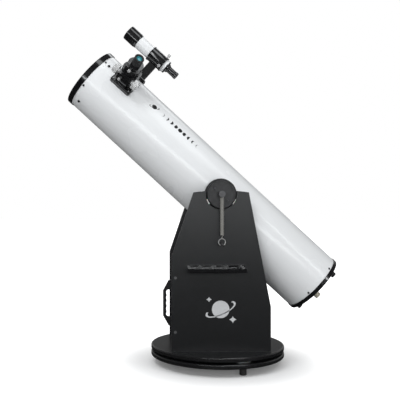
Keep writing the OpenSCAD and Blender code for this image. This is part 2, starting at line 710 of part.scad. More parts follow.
module finder_shoe() color([0.07, 0.07, 0.08]) tube_frame() difference() {
    clock(finder_clock, finder_a) difference() {
        translate([105, -19, -shoe_half]) cube([shoe_top - 105, 38, 2 * shoe_half]);
        translate([0, 0, -shoe_half - cut]) linear_extrude(2 * shoe_half - 3 + cut)
            dovetail(run_gap, shoe_top + cut);
        translate([dove_base + 4, -20, 6]) rotate([-90, 0, 0])
            cylinder(r = tube_screw_r + run_gap, h = 9.5, $fn = 32);
    }
    translate([0, 0, finder_a - 60]) cylinder(r = tube_r + touch_gap, h = 120, $fn = 180);
    at_shoe_screws() translate([0, 0, -25]) cylinder(r = tube_screw_r + run_gap, h = 30, $fn = 32);
    at_shoe_screws() translate([0, 0, -3]) cylinder(r = 3.8, h = 5, $fn = 32);
}

module finder_lock_screw() color("silver") tube_frame() clock(finder_clock, finder_a)
    translate([dove_base + 4, -19 - run_gap, 6]) rotate([90, 0, 0])
        thumb_screw(tube_screw_r, 6, 3.5, 3, 6, 8, 16);

module finder_bracket() color([0.07, 0.07, 0.08]) tube_frame() difference() {
    union() {
        clock(finder_clock, finder_a) {
            translate([0, 0, -shoe_half + 1]) linear_extrude(2 * shoe_half - 4.1)
                dovetail(0, shoe_top + 3);
            translate([shoe_top, -6.5, -16]) cube([finder_off - shoe_top - 27, 13, 32]);
        }
        finder_axis() translate([0, 0, finder_ring_back])
            cylinder(r = finder_ring_r, h = finder_ring_front - finder_ring_back);
        for (low = [finder_ring_back, finder_ring_front - finder_flange_t])
            finder_axis() translate([0, 0, low]) cylinder(r = finder_flange_r, h = finder_flange_t);
    }
    clock(finder_clock, finder_a) translate([dove_base - cut, -4.5, -shoe_half])
        cube([3.2 + cut, 9, 2 * shoe_half]);
    finder_axis() translate([0, 0, finder_ring_back - cut])
        cylinder(r = finder_r + run_gap, h = finder_ring_front - finder_ring_back + 2 * cut);
    finder_axis() translate([0, 0, finder_ring_back - cut])
        cylinder(r = finder_ring_bore, h = finder_land_a - 2.5 - finder_ring_back + cut);
    finder_axis() translate([0, 0, finder_land_a + 2.5])
        cylinder(r = finder_ring_bore, h = 10);
    at_finder_screws([0, 120, 240]) translate([0, 0, -2])
        cylinder(r = tube_screw_r + run_gap, h = 20, $fn = 32);
}

module at_finder_screws(angles) finder_axis()
    for (a = angles) rotate(a) translate([finder_tip, 0, finder_screw_a]) rotate([0, 90, 0]) children();

module finder_plunger() color("silver") tube_frame() at_finder_screws([120]) {
    cylinder(r = tube_screw_r, h = 4, $fn = 32);
    translate([0, 0, finder_ring_r - finder_tip + touch_gap]) cylinder(r = 4.5, h = 14);
}

module finder_screw(angle) tube_frame() at_finder_screws([angle])
    translate([0, 0, 7]) thumb_screw(tube_screw_r, 7, 3, 1, 5.5, 9, 16);

module finder_screw_1() color([0.1, 0.1, 0.1]) finder_screw(finder_screw_angles[0]);
module finder_screw_2() color([0.1, 0.1, 0.1]) finder_screw(finder_screw_angles[1]);

module finder_tube() color("white") tube_frame() finder_axis()
    tube_ring(finder_r, finder_r - 1.4, finder_tube_back, finder_tube_front);

module finder_objective() color([0.07, 0.07, 0.08]) tube_frame() finder_axis()
    translate([0, 0, finder_tube_front + touch_gap]) rotate_extrude() polygon([
        [22, 0], [25.5, 0], [27, 1.5], [27, 6], [28.5, 8], [28.5, 53], [27.7, 55], [26.6, 55],
        [26.6, 20], [25.5, 19], [25.5, 11], [22, 11]]);

module finder_lens() color([0.3, 0.4, 0.55]) tube_frame() finder_axis()
    translate([0, 0, finder_tube_front + 11 + 2 * touch_gap]) intersection() {
        cylinder(r = 25.4, h = 9);
        translate([0, 0, -92]) sphere(r = 99);
    }

module finder_eyepiece() color([0.07, 0.07, 0.08]) tube_frame() finder_axis()
    translate([0, 0, finder_tube_back - touch_gap]) mirror([0, 0, 1]) rotate_extrude() polygon(concat(
        [[8, 0], [25, 0], [25, 1.5], [24, 2.5], [17, 4], [16, 9], [13, 12]],
        [for (i = [0:4], e = [0:3]) [e == 1 || e == 2 ? 12 : 12.7, 15 + 5 * i + [0, 0.5, 2, 2.5][e]]],
        [[12, 41], [13.2, 42], [13.2, 51], [12.4, 52], [10, 52], [8, 50]]));

// ---------------------------------------------------------------- mirror cell

module at_cell_bolts(clocks, a) for (c = clocks) clock(c, a) translate([cell_bolt_r, 0, 0]) children();

// Flat ring with a hub and three spokes, and holes for the cell's bolts
module spoked_plate(outer, low, high, bolt_clocks, bolt_hole)
    translate([0, 0, low]) linear_extrude(high - low) difference() {
        union() {
            difference() {
                circle(outer);
                circle(84);
            }
            circle(20);
            for (c = collimation_clocks) rotate(c - 90) translate([0, -9]) square([87, 18]);
        }
        for (c = bolt_clocks) rotate(c - 90) translate([cell_bolt_r, 0]) circle(bolt_hole, $fn = 32);
    }

module cell_frame() color([0.12, 0.12, 0.13]) tube_frame() difference() {
    spoked_plate(sleeve_in - touch_gap, frame_back, frame_front,
        concat(collimation_clocks, lock_clocks), 2.5 + run_gap);
    for (c = ring_screw_clocks) clock(c, rear_screw_a) translate([104, 0, 0]) rotate([0, 90, 0])
        cylinder(r = tube_screw_r + run_gap, h = 20, $fn = 32);
}

module collimation_springs() color("silver") tube_frame()
    at_cell_bolts(collimation_clocks, 0)
        tube_ring(6.5, 4, frame_front + touch_gap, cell_back - touch_gap, $fn = 48);

module mirror_cell() color([0.15, 0.15, 0.16]) tube_frame() {
    spoked_plate(cell_r, cell_back, cell_front, collimation_clocks, cell_bolt_hole);
    for (c = collimation_clocks) clock(c, cell_front - cut) translate([68, 0, 0])
        cylinder(r = 8, h = mirror_back - cell_front + cut - touch_gap, $fn = 48);
    intersection() {
        tube_ring(cell_r, post_inner, cell_front - cut, cell_post_top);
        for (c = lock_clocks) clock(c, cell_back) translate([90, -12, 0]) cube([30, 24, 60]);
    }
}

module primary_mirror() color([0.75, 0.82, 0.88]) tube_frame() translate([0, 0, mirror_back])
    difference() {
        cylinder(r = mirror_r, h = mirror_t, $fn = 180);
        translate([0, 0, mirror_t - 2.2 + 2400]) sphere(r = 2400, $fn = 360);
    }

module mirror_clips() color([0.1, 0.1, 0.1]) tube_frame()
    for (c = lock_clocks) clock(c, cell_post_top + touch_gap)
        translate([97, -7, 0]) cube([10, 14, 2]);

module collimation_knob(i) tube_frame() at_cell_bolts([collimation_clocks[i]], frame_back - touch_gap)
    mirror([0, 0, 1]) {
        thumb_screw(2.5, cell_front - frame_back - 0.5, 5.5, 16, 11.5, 16, 20);
        translate([0, 0, 32]) cylinder(r = 7, h = 1);
    }

module collimation_knob_1() color([0.8, 0.78, 0.7]) collimation_knob(0);
module collimation_knob_2() color([0.8, 0.78, 0.7]) collimation_knob(1);
module collimation_knob_3() color([0.8, 0.78, 0.7]) collimation_knob(2);

module lock_knob(i) tube_frame() at_cell_bolts([lock_clocks[i]], frame_back - touch_gap)
    mirror([0, 0, 1]) {
        thumb_screw(2.5, cell_back - frame_back - 1.4, 5, 14, 10, 16, 16);
        translate([0, 0, 30]) cylinder(r = 5, h = 1);
    }

module lock_knob_1() color([0.1, 0.1, 0.1]) lock_knob(0);
module lock_knob_2() color([0.1, 0.1, 0.1]) lock_knob(1);
module lock_knob_3() color([0.1, 0.1, 0.1]) lock_knob(2);

// ---------------------------------------------------------------- nodes

ground_board();
ground_edge_band();
feet();
azimuth_pads();
pivot_fasteners();
turntable_board();
turntable_edge_band();
pivot_bush();
side_panel_left();
side_panel_right();
front_board();
carry_handle();
eyepiece_rack();
wood_screws();
panel_screws();
altitude_pads();
tension_springs();
pull_rings();
spring_posts();
main_tube();
front_ring();
rear_ring();
tube_fasteners();
altitude_bearings();
spring_pins();
spider();
secondary_holder();
secondary_mirror();
focuser_base();
focuser_body();
focus_lock_screw();
drawtube();
focus_shaft();
focus_knobs();
eyepiece_adapter();
eyepiece_screw();
eyepiece_barrel();
eyepiece_body();
eyepiece_lens();
finder_shoe();
finder_lock_screw();
finder_bracket();
finder_plunger();
finder_screw_1();
finder_screw_2();
finder_tube();
finder_objective();
finder_lens();
finder_eyepiece();
cell_frame();
collimation_springs();
mirror_cell();
primary_mirror();
mirror_clips();
collimation_knob_1();
collimation_knob_2();
collimation_knob_3();
lock_knob_1();
lock_knob_2();
lock_knob_3();
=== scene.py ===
"""Looks of the Dobsonian telescope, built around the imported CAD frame."""

import json
import math

import bmesh
import bpy
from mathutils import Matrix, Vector


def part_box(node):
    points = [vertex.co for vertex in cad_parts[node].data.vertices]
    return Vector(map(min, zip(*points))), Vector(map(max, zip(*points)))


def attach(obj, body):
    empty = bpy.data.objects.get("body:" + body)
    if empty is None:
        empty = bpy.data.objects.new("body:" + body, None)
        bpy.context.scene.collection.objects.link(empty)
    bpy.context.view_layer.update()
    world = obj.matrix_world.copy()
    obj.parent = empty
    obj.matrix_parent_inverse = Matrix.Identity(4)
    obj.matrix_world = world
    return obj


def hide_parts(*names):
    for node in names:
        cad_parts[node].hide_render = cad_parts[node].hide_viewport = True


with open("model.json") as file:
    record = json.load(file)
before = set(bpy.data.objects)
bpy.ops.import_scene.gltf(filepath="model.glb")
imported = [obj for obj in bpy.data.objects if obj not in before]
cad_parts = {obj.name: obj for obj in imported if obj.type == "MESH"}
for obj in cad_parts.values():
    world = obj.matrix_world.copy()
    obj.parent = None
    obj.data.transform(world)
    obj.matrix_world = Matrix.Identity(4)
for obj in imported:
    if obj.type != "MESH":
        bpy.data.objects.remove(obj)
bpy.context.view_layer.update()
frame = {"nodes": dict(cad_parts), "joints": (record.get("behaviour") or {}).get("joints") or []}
NODES = frame["nodes"]
JOINTS = {j["name"]: j for j in frame["joints"]}
MM = 0.001

# ------------------------------------------------------------------ directions and places

PIVOT = Vector(JOINTS["altitude_tilt"]["pos_m"])
ALONG = Vector(JOINTS["secondary_turn"]["axis"]).normalized()    # along the tube, to its front
ACROSS = Vector((0, 1, 0))
UP = ACROSS.cross(ALONG).normalized()                            # square to the tube, upwards
FOCUS = Vector(JOINTS["focus_travel"]["axis"]).normalized()
FINDER_AT = Vector(JOINTS["finder_tilt"]["pos_m"])
FOCUS_AT = Vector(JOINTS["secondary_turn"]["pos_m"])             # where the light path turns


def reach(node, direction, origin=PIVOT):
    """Lowest and highest distance of a CAD node's points along a direction."""
    d = [(v.co - origin).dot(direction) for v in NODES[node].data.vertices]
    return min(d), max(d)


TUBE_R = reach("main_tube", ACROSS)[1]
FINDER_R = reach("finder_tube", ACROSS, FINDER_AT)[1]
PANEL_OUT = -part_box("side_panel_left")[0].y


def on_tube(angle, radius, along):
    """A point round the tube: angle in degrees from its left side over its top."""
    a = math.radians(angle)
    return PIVOT + ALONG * along + (UP * math.sin(a) - ACROSS * math.cos(a)) * radius


# ------------------------------------------------------------------ materials

def feed(tree, socket, value):
    """Links an output to a socket, or sets the socket to a plain value."""
    if hasattr(value, "is_linked"):
        tree.links.new(value, socket)
    else:
        socket.default_value = value


class Shader:
    """A Principled material, with the few node patterns that the finishes below share."""

    def __init__(self, name, color, rough, metal=0.0, **sockets):
        self.mat = bpy.data.materials.new(name)
        self.mat.use_nodes = True
        self.tree = self.mat.node_tree
        self.bsdf = self.tree.nodes["Principled BSDF"]
        self.mat.diffuse_color = (*color, 1)
        self.bsdf.inputs["Base Color"].default_value = (*color, 1)
        self.bsdf.inputs["Roughness"].default_value = rough
        self.bsdf.inputs["Metallic"].default_value = metal
        for key, value in sockets.items():
            self.bsdf.inputs[key.replace("_", " ")].default_value = value
        self.place = self.node("ShaderNodeTexCoord").outputs["Object"]

    def node(self, kind, **inputs):
        made = self.tree.nodes.new(kind)
        for key, value in inputs.items():
            feed(self.tree, made.inputs[key], value)
        return made

    def link(self, out, socket):
        self.tree.links.new(out, self.bsdf.inputs[socket])

    def math(self, kind, a, b=0.0):
        made = self.tree.nodes.new("ShaderNodeMath")
        made.operation = kind
        feed(self.tree, made.inputs[0], a)
        feed(self.tree, made.inputs[1], b)
        return made.outputs[0]

    def vector(self, kind, a, b=(0, 0, 0)):
        """Vector arithmetic; a dot product or a length gives one number."""
        made = self.tree.nodes.new("ShaderNodeVectorMath")
        made.operation = kind
        feed(self.tree, made.inputs[0], a)
        feed(self.tree, made.inputs[1], b)
        return made.outputs["Value" if kind in ("DOT_PRODUCT", "LENGTH") else "Vector"]

    def stretch(self, scale):
        """Object coordinates, stretched."""
        return self.node("ShaderNodeMapping", Vector=self.place, Scale=scale).outputs[0]

    def noise(self, size, detail=3.0, rough=0.55, vector=None):
        """Noise whose patches are about size metres across."""
        made = self.node("ShaderNodeTexNoise", Vector=vector or self.place, Scale=1 / size,
                         Detail=detail, Roughness=rough)
        return made.outputs[0]

    def cells(self, size):
        return self.node("ShaderNodeTexVoronoi", Vector=self.place, Scale=1 / size).outputs["Distance"]

    def spread(self, fac, low, high, a=0.3, b=0.7, kind="LINEAR"):
        """Maps a..b of fac to low..high."""
        made = self.node("ShaderNodeMapRange", Value=fac)
        made.interpolation_type = kind
        for key, value in (("From Min", a), ("From Max", b), ("To Min", low), ("To Max", high)):
            made.inputs[key].default_value = value
        return made.outputs[0]

    def mix(self, fac, a, b):
        made = self.tree.nodes.new("ShaderNodeMix")
        made.data_type = "RGBA"
        feed(self.tree, made.inputs[0], fac)
        for socket, value in ((made.inputs[6], a), (made.inputs[7], b)):
            feed(self.tree, socket, value if hasattr(value, "is_linked") else (*value, 1))
        return made.outputs[2]

    def tint(self, fac, a, b):
        """Base colour goes from a to b with fac."""
        self.link(self.mix(fac, a, b), "Base Color")

    def bump(self, *layers):
        """Layers of (height, depth in metres, strength), one on another."""
        normal = None
        for height, depth, strength in layers:
            made = self.node("ShaderNodeBump", Height=height, Strength=strength, Distance=depth)
            if normal is not None:
                self.tree.links.new(normal, made.inputs["Normal"])
            normal = made.outputs[0]
        self.link(normal, "Normal")

    def edges(self, radius):
        """About 1 on edges sharper than radius, 0 on flats."""
        soft = self.tree.nodes.new("ShaderNodeBevel")
        soft.samples = 4
        soft.inputs["Radius"].default_value = radius
        flat = self.tree.nodes.new("ShaderNodeNewGeometry")
        likeness = self.vector("DOT_PRODUCT", soft.outputs[0], flat.outputs["Normal"])
        return self.spread(likeness, 1.0, 0.0, 0.8, 0.99)

    def radius(self, axis, origin):
        """Distance from an axis through origin."""
        arm = self.vector("SUBTRACT", self.place, origin)
        return self.vector("LENGTH", self.vector("CROSS_PRODUCT", arm, axis))

    def turned(self, axis, size=0.0004):
        """Lathe marks: fine rings round an axis."""
        line = self.node("ShaderNodeCombineXYZ", X=self.vector("DOT_PRODUCT", self.place, axis))
        return self.noise(size, 2.0, 0.6, line.outputs[0])


def enamel(name, outer_radius, axis, origin):
    """Gloss white enamel outside, flat black paint inside a tube of that outer radius."""
    s = Shader(name, (0.8, 0.81, 0.825), 0.24, Coat_Weight=0.45, Coat_Roughness=0.14)
    half_wall = 0.5 * MM
    inside = s.math("LESS_THAN", s.radius(axis, origin), outer_radius - half_wall)
    white = s.mix(s.noise(0.3, 2.0), (0.78, 0.79, 0.8), (0.8, 0.81, 0.82))
    smudge = s.spread(s.noise(0.05, 6.0, 0.7), 0.0, 1.0, 0.52, 0.75)
    white = s.mix(s.math("MULTIPLY", smudge, 0.03), white, (0.7, 0.7, 0.69))
    s.link(s.mix(inside, white, (0.012, 0.012, 0.013)), "Base Color")
    gloss = s.spread(s.noise(0.2, 2.0), 0.255, 0.285, 0.0, 1.0)
    s.link(s.math("MAXIMUM", gloss, s.math("MULTIPLY", inside, 0.8)), "Roughness")
    s.link(s.math("MULTIPLY", s.math("SUBTRACT", 1.0, inside), 0.45), "Coat Weight")
    s.bump((s.noise(0.0009, 2.0), 0.000004, 0.3))
    return s.mat


def laminate():
    """Black laminate: a fine pressed grain, faint clouding, pale worn edges."""
    s = Shader("laminate", (0.012, 0.0125, 0.0135), 0.34, Specular_IOR_Level=0.6)
    cloud = s.noise(0.12, 4.0)
    grain = s.noise(0.0016, 3.0, 0.6, s.stretch((1, 1, 0.35)))
    dark = s.mix(cloud, (0.004, 0.0042, 0.0049), (0.0062, 0.0067, 0.0077))
    dark = s.mix(s.spread(grain, 0.0, 0.5), dark, (0.011, 0.0117, 0.013))
    s.link(s.mix(s.math("MULTIPLY", s.edges(0.0012), s.noise(0.02, 4.0)), dark, (0.12, 0.12, 0.12)),
           "Base Color")
    s.link(s.spread(grain, 0.28, 0.42), "Roughness")
    s.bump((grain, 0.00012, 0.55), (s.cells(0.0009), 0.00005, 0.3))
    return s.mat


def gloss_edge():
    """Rounded plastic edging, glossy and lightly scuffed."""
    s = Shader("gloss_edge", (0.005, 0.005, 0.006), 0.26, Coat_Weight=0.8, Coat_Roughness=0.22)
    s.tint(s.noise(0.03, 4.0), (0.004, 0.004, 0.0045), (0.01, 0.01, 0.011))
    scuff = s.noise(0.006, 6.0, 0.7, s.stretch((1, 1, 6)))
    s.link(s.spread(scuff, 0.24, 0.36, 0.45, 0.8), "Roughness")
    s.bump((s.noise(0.03, 2.0), 0.00002, 0.15), (scuff, 0.000005, 0.15))
    return s.mat


def moulded(name="black_plastic", color=(0.012, 0.012, 0.013), grain=0.0007, rough=0.36):
    """Moulded plastic with a fine spark-eroded grain."""
    s = Shader(name, color, rough, Specular_IOR_Level=0.5)
    lighter = tuple(c * 1.7 + 0.004 for c in color)
    s.tint(s.spread(s.noise(0.012, 4.0), 0.0, 1.0), color, lighter)
    cells = s.cells(grain)
    s.link(s.spread(s.noise(0.01, 4.0), rough - 0.06, rough + 0.1), "Roughness")
    s.bump((cells, 0.00006, 0.5), (s.noise(grain * 3, 2.0), 0.00005, 0.3))
    return s.mat


def powder(name="black_powder", color=(0.018, 0.018, 0.02), rough=0.36):
    """Powder coat: a soft orange peel, pale where edges are rubbed."""
    s = Shader(name, color, rough, Coat_Weight=0.15, Coat_Roughness=0.2)
    base = s.mix(s.noise(0.02, 4.0), color, tuple(c * 1.6 for c in color))
    rub = s.math("MULTIPLY", s.edges(0.0008), s.spread(s.noise(0.006, 5.0, 0.7), 0.0, 0.8, 0.4, 0.7))
    s.link(s.mix(rub, base, (0.16, 0.16, 0.165)), "Base Color")
    s.link(s.spread(s.noise(0.008, 3.0), rough - 0.08, rough + 0.08), "Roughness")
    s.bump((s.noise(0.0014, 2.0), 0.00008, 0.6))
    return s.mat


def lacquer(name="black_lacquer", color=(0.0035, 0.0035, 0.004), rough=0.12):
    """Gloss black lacquer, faintly wavy and scuffed, pale where edges are rubbed."""
    s = Shader(name, color, rough, Coat_Weight=0.8, Coat_Roughness=0.05, Specular_IOR_Level=0.8)
    base = s.mix(s.noise(0.02, 4.0), color, tuple(c * 1.8 for c in color))
    rub = s.math("MULTIPLY", s.edges(0.0006), s.spread(s.noise(0.005, 5.0, 0.7), 0.0, 0.6, 0.45, 0.75))
    s.link(s.mix(rub, base, (0.06, 0.06, 0.063)), "Base Color")
    s.link(s.spread(s.noise(0.006, 6.0, 0.7), rough - 0.04, rough + 0.09), "Roughness")
    s.bump((s.noise(0.012, 2.0), 0.00008, 0.4), (s.noise(0.0012, 2.0), 0.00002, 0.4))
    return s.mat


def screw_black():
    """Blackened screw heads, with the four round the focuser left bright."""
    s = Shader("tube_screws", (0.05, 0.05, 0.053), 0.3, metal=1.0)
    focuser_reach = 55 * MM
    bright = s.math("LESS_THAN", s.radius(FOCUS, FOCUS_AT), focuser_reach)
    tone = s.noise(0.008, 4.0)
    s.link(s.mix(bright, s.mix(tone, (0.035, 0.035, 0.037), (0.06, 0.06, 0.062)),
                 s.mix(tone, (0.6, 0.61, 0.62), (0.78, 0.78, 0.79))), "Base Color")
    s.link(s.spread(s.noise(0.002, 6.0, 0.7), 0.2, 0.4), "Roughness")
    s.bump((s.noise(0.0015, 5.0), 0.00002, 0.4))
    return s.mat


def anodised(name, color, rough, axis, dark):
    """Turned and anodised aluminium: fine rings round its axis."""
    s = Shader(name, color, rough, metal=0.2 if dark else 0.5, Anisotropic=0.4,
               Specular_IOR_Level=1.0, Coat_Weight=0.9 if dark else 0.1, Coat_Roughness=0.08)
    rings = s.turned(axis)
    low, high = tuple(c * 0.8 for c in color), tuple(min(1, c * 1.15 + 0.003) for c in color)
    s.tint(s.noise(0.01, 3.0), low, high)
    s.link(s.spread(rings, rough - 0.07, rough + 0.1), "Roughness")
    s.bump((rings, 0.00001, 0.4), (s.noise(0.004, 4.0), 0.00001, 0.2))
    return s.mat


def metal(name, color, rough, grain=0.002, scratch=0.4, shine=1.0):
    """Bare or plated metal with fine scratches."""
    s = Shader(name, color, rough, metal=shine)
    s.tint(s.noise(grain * 4, 4.0), tuple(c * 0.82 for c in color), color)
    fine = s.noise(grain, 6.0, 0.7)
    s.link(s.spread(fine, rough * 0.7, rough * 1.5 + 0.03), "Roughness")
    s.bump((fine, 0.00002, scratch))
    return s.mat


def low_friction():
    """White sliding pads, with the marks of the skiving knife."""
    s = Shader("ptfe", (0.82, 0.81, 0.78), 0.42, Subsurface_Weight=0.1, Subsurface_Scale=0.004)
    skive = s.noise(0.0015, 3.0, 0.6, s.stretch((1, 0.15, 1)))
    s.tint(skive, (0.74, 0.73, 0.69), (0.86, 0.85, 0.82))
    s.link(s.spread(skive, 0.35, 0.5), "Roughness")
    s.bump((skive, 0.00005, 0.4))
    return s.mat


def rubber():
    """Dusty black rubber."""
    s = Shader("rubber", (0.02, 0.02, 0.02), 0.7)
    s.tint(s.noise(0.01, 5.0), (0.016, 0.016, 0.016), (0.045, 0.044, 0.042))
    s.link(s.spread(s.noise(0.004, 4.0), 0.62, 0.85), "Roughness")
    s.bump((s.noise(0.0009, 3.0), 0.00008, 0.6))
    return s.mat


def coated_lens(name, axis, near, far):
    """Antireflection-coated glass: its coating's tint in the middle, lightened towards the rim by a
    painted sheen.
    """
    s = Shader(name, near, 0.03, Coat_Weight=1.0, Coat_Roughness=0.01, Specular_IOR_Level=0.8)
    # Painted sheen: the base colour goes lighter as the glass turns edge-on to the view
    facing = s.tree.nodes.new("ShaderNodeLayerWeight")
    facing.inputs["Blend"].default_value = 0.45
    s.link(s.mix(facing.outputs["Facing"], near, far), "Base Color")
    s.link(s.spread(s.noise(0.004, 5.0), 0.015, 0.06), "Roughness")
    s.bsdf.inputs["Metallic"].default_value = 0.35
    return s.mat


def aluminised():
    """First-surface mirror with a little dust."""
    s = Shader("mirror_coating", (0.86, 0.88, 0.9), 0.015, metal=1.0)
    dust = s.spread(s.noise(0.0016, 6.0, 0.75), 0.0, 1.0, 0.6, 0.8)
    s.tint(dust, (0.86, 0.88, 0.9), (0.72, 0.73, 0.74))
    s.link(s.spread(dust, 0.012, 0.12, 0.0, 1.0), "Roughness")
    return s.mat


def print_ink(name, color):
    """Screen-printed ink, slightly uneven."""
    s = Shader(name, color, 0.4, Specular_IOR_Level=0.4)
    s.tint(s.noise(0.004, 5.0), tuple(c * 0.88 for c in color), color)
    s.link(s.spread(s.noise(0.002, 3.0), 0.34, 0.48), "Roughness")
    s.bump((s.noise(0.0012, 2.0), 0.00002, 0.4))
    return s.mat


BLACK_METAL = powder()
BLACK_PLASTIC = moulded()
LAMINATE = laminate()
EDGE = gloss_edge()
PTFE = low_friction()
ZINC = metal("zinc_steel", (0.62, 0.62, 0.61), 0.26, shine=0.6)
SPRING = metal("spring_steel", (0.45, 0.44, 0.41), 0.28, 0.0015, shine=0.35)
CHROME = metal("chrome", (0.82, 0.82, 0.84), 0.06, 0.004, 0.15)
NICKEL = metal("knob_nickel", (0.74, 0.69, 0.58), 0.3, shine=0.6)
BOLT_GREY = metal("bolt_grey", (0.16, 0.16, 0.165), 0.34, shine=0.5)
LACQUER = lacquer()
FOCUS_BLACK = anodised("focuser_black", (0.008, 0.008, 0.009), 0.15, FOCUS, True)
KNOB_SILVER = anodised("knob_silver", (0.8, 0.8, 0.8), 0.26, ALONG, False)
FINDER_BLACK = anodised("finder_black", (0.008, 0.008, 0.009), 0.15, ALONG, True)

FINISH = {
    LAMINATE: "ground_board turntable_board side_panel_left side_panel_right front_board",
    EDGE: "ground_edge_band turntable_edge_band",
    rubber(): "feet",
    PTFE: "azimuth_pads altitude_pads pivot_bush",
    ZINC: "pivot_fasteners pull_rings focus_shaft finder_plunger",
    BLACK_PLASTIC: "carry_handle altitude_bearings spring_posts lock_knob_1 lock_knob_2 lock_knob_3",
    moulded("pin_grey", (0.05, 0.05, 0.053), 0.0007, 0.36): "spring_pins",
    BLACK_METAL: "spider cell_frame mirror_cell mirror_clips secondary_holder",
    LACQUER: "eyepiece_rack front_ring rear_ring finder_shoe focuser_base",
    BOLT_GREY: "panel_screws wood_screws",
    screw_black(): "tube_fasteners",
    enamel("tube_enamel", TUBE_R, ALONG, PIVOT): "main_tube",
    enamel("finder_enamel", FINDER_R, ALONG, FINDER_AT): "finder_tube",
    FOCUS_BLACK: "focuser_body eyepiece_adapter drawtube",
    FINDER_BLACK: "finder_objective finder_eyepiece finder_bracket",
    KNOB_SILVER: "focus_knobs focus_lock_screw eyepiece_screw finder_lock_screw finder_screw_1 "
                 "finder_screw_2",
    NICKEL: "collimation_knob_1 collimation_knob_2 collimation_knob_3",
    CHROME: "eyepiece_barrel",
    moulded("eyepiece_rubber", (0.02, 0.02, 0.021), 0.0005, 0.5): "eyepiece_body",
    coated_lens("eye_lens_glass", FOCUS, (0.0, 0.16, 0.2), (0.1, 0.5, 0.55)): "eyepiece_lens",
    coated_lens("finder_glass", ALONG, (0.01, 0.03, 0.06), (0.25, 0.2, 0.45)): "finder_lens",
    aluminised(): "primary_mirror secondary_mirror",
}


def paint(obj, material):
    obj.data.materials.clear()
    obj.data.materials.append(material)


for material, names in FINISH.items():
    for name in names.split():
        paint(NODES[name], material)

# ------------------------------------------------------------------ shapes

# Rounding of the CAD pieces' edges, in millimetres
ROUND = {
    1.0: "side_panel_left side_panel_right front_board",
    2.2: "carry_handle",
    0.8: "eyepiece_rack focuser_base finder_shoe finder_bracket",
    0.5: "focuser_body eyepiece_adapter drawtube altitude_bearings",
    0.3: "focus_lock_screw eyepiece_screw finder_lock_screw finder_screw_1 finder_screw_2 "
         "collimation_knob_1 collimation_knob_2 collimation_knob_3 lock_knob_1 lock_knob_2 "
         "lock_knob_3 finder_plunger",
    0.4: "cell_frame mirror_cell mirror_clips spring_pins",
}


def soften(obj, width, segments=2):
    """Rounds sharp edges with modifiers, which leave the CAD mesh as it is."""
    weld = obj.modifiers.new("weld", "WELD")
    weld.merge_threshold = 1e-5
    round_off = obj.modifiers.new("round", "BEVEL")
    round_off.width = width * MM
    round_off.segments = segments
    round_off.limit_method = "ANGLE"
    round_off.angle_limit = math.radians(35)
    round_off.use_clamp_overlap = True
    round_off.harden_normals = True


for width, names in ROUND.items():
    for name in names.split():
        soften(NODES[name], width)


def add_mesh(name, verts, faces, material, body, smooth=True):
    data = bpy.data.meshes.new(name)
    data.from_pydata([tuple(v) for v in verts], [], faces)
    data.validate()
    data.materials.append(material)
    for polygon in data.polygons:
        polygon.use_smooth = smooth
    obj = bpy.data.objects.new(name, data)
    bpy.context.scene.collection.objects.link(obj)
    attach(obj, body)
    return obj


def sweep(name, path, radius, material, body, sides=10):
    """A round wire along a path of points, closed by flat ends."""
    verts, faces = [], []
    side = None
    for i, point in enumerate(path):
        ahead = (path[min(i + 1, len(path) - 1)] - path[max(i - 1, 0)]).normalized()
        if side is None:
            side = ahead.orthogonal().normalized()
        side = (side - ahead * side.dot(ahead)).normalized()
        other = ahead.cross(side)
        for k in range(sides):
            a = math.tau * k / sides
            verts.append(point + (side * math.cos(a) + other * math.sin(a)) * radius)
    for i in range(len(path) - 1):
        for k in range(sides):
            a, b = i * sides + k, i * sides + (k + 1) % sides
            faces.append((a, b, b + sides, a + sides))
    faces.append(tuple(range(sides))[::-1])
    last = (len(path) - 1) * sides
    faces.append(tuple(range(last, last + sides)))
    return add_mesh(name, verts, faces, material, body)


def helix(base, axis, start, radius, length, turns, steps=20):
    """Points of a coil that climbs from base along axis, starting in direction start."""
    other = axis.cross(start)
    count = int(turns * steps)
    points = []
    for i in range(count + 1):
        a = math.tau * turns * i / count
        points.append(base + axis * (length * i / count)
                      + (start * math.cos(a) + other * math.sin(a)) * radius)
    return points


def tension_spring(side, name):
    """Wound extension spring: hook round the bearing pin, coil, and an eye for the pull ring."""
    down, out = Vector((0, 0, -1)), Vector((1, 0, 0))
    wire_r, coil_r, pitch = 1.0 * MM, 5.9 * MM, 2.55 * MM
    hook_r, eye_r = 5.2 * MM, 4.5 * MM
    ring_wire_r = 1.5 * MM
    ring_low, ring_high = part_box("pull_rings")
    y = side * (abs(ring_low.y) - ring_wire_r)
    top, bottom = PIVOT.z - 12.5 * MM, ring_high.z + 10.5 * MM
    pin = Vector((0, y, PIVOT.z))
    eye = Vector((0, y, ring_high.z - 2 * ring_wire_r + eye_r - 0.2 * MM))
    path = []
    for i in range(25):
        a = math.radians(-60 + i * 13.2)
        path.append(pin + Vector((-math.sin(a), 0, math.cos(a))) * hook_r)
    path.append(Vector((0.6 * coil_r, y, top + 3 * MM)))
    turns = round((top - bottom) / pitch)
    path += helix(Vector((0, y, top)), down, out, coil_r, top - bottom, turns)
    path.append(Vector((0.4 * coil_r, y, bottom - 1.6 * MM)))
    for i in range(21):
        a = math.radians(i * 16)
        path.append(eye + Vector((0, -math.sin(a), math.cos(a))) * eye_r)
    obj = sweep(name, path, wire_r, SPRING, "rocker", 8)
    return obj


for spring in (tension_spring(-1, "tension_coil_left"), tension_spring(1, "tension_coil_right")):
    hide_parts("tension_springs")


